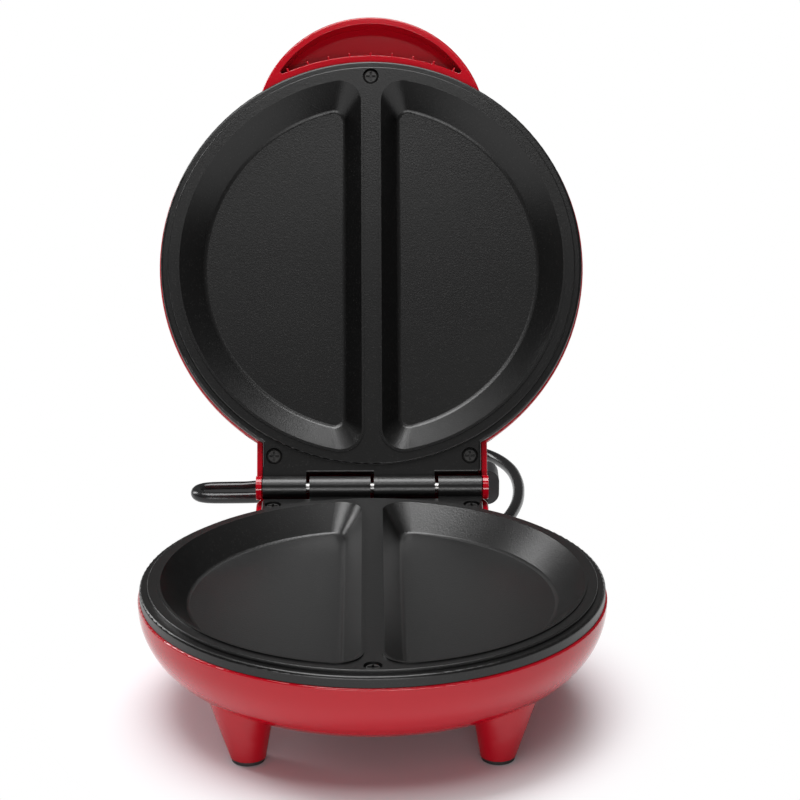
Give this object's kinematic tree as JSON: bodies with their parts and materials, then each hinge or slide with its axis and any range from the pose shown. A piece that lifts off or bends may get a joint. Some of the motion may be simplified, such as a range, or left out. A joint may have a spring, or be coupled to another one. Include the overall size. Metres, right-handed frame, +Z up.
{
  "type": "electric omelette maker",
  "caption": "Countertop electric omelette maker with a round hinged lid, standing open: divided non-stick plates in glossy shells, crescent handle, legs and a supply cord with its plug.",
  "frame": {"origin": "middle of the footprint of the machine with its lid open, at floor level", "axes": "+Z up, -Y towards the front edge of the base, +X to the right seen from the front"},
  "size_m": [0.1956, 0.4188, 0.2511],
  "materials": {
    "nonstick_coating": "cast aluminium under a black non-stick coating",
    "red_shell": "glossy moulded plastic",
    "screw_steel": "zinc plated",
    "black_screw_steel": "black oxide",
    "sheet_steel": "pressed sheet",
    "element_sheath": "heat-darkened tube",
    "reflector_aluminium": "bright rolled sheet",
    "dark_bakelite": "moulded phenolic",
    "white_nylon": "moulded nylon",
    "wire_sleeve": "braided glass sleeve",
    "cord_jacket": "smooth jacket with a soft gloss",
    "plug_plastic": "moulded, slightly grained",
    "blade_nickel": "stamped brass, nickel plated",
    "foot_rubber": "matt",
    "red_lens": "clear tinted",
    "green_lens": "clear tinted",
    "lamp_glass": "clear"
  },
  "bodies": {
    "base": {"base_cooking_plate": "nonstick_coating", "base_plate_screws": "black_screw_steel", "base_heating_element": "element_sheath", "base_element_clamps": "sheet_steel", "base_clamp_screws": "screw_steel", "base_reflector": "reflector_aluminium", "base_reflector_screws": "screw_steel", "thermostat": "dark_bakelite", "thermostat_screws": "screw_steel", "thermal_fuse": "sheet_steel", "fuse_clip": "sheet_steel", "fuse_screw": "screw_steel", "base_shell": "red_shell", "hinge_pin": "screw_steel", "terminal_block": "white_nylon", "block_screw": "screw_steel", "cord_clamp": "white_nylon", "cord_clamp_screws": "screw_steel", "cord_tail": "cord_jacket", "strain_relief": "cord_jacket", "thermostat_supply_lead": "wire_sleeve", "thermostat_element_lead": "wire_sleeve", "fuse_supply_lead": "wire_sleeve", "fuse_element_lead": "wire_sleeve", "foot_pad_front_left": "foot_rubber", "foot_pad_front_right": "foot_rubber", "foot_pad_rear_left": "foot_rubber", "foot_pad_rear_right": "foot_rubber", "cord": "cord_jacket", "plug": "plug_plastic", "plug_blades": "blade_nickel"},
    "lid": {"lid_cooking_plate": "nonstick_coating", "lid_plate_screws": "black_screw_steel", "lid_heating_element": "element_sheath", "lid_element_clamps": "sheet_steel", "lid_clamp_screws": "screw_steel", "lid_reflector": "reflector_aluminium", "lid_reflector_screws": "screw_steel", "lid_shell": "red_shell", "power_lens": "red_lens", "ready_lens": "green_lens", "lamp_holder": "white_nylon", "holder_screw": "screw_steel", "power_lamp": "lamp_glass", "ready_lamp": "lamp_glass", "power_lamp_lead": "wire_sleeve", "ready_lamp_lead": "wire_sleeve"}
  },
  "joints": [
    {"name": "lid_hinge", "type": "hinge", "parent": "base", "child": "lid", "pos_m": [0, 0.03838, 0.0584], "axis": [1, 0, 0], "range_deg": [0, 119]}
  ]
}
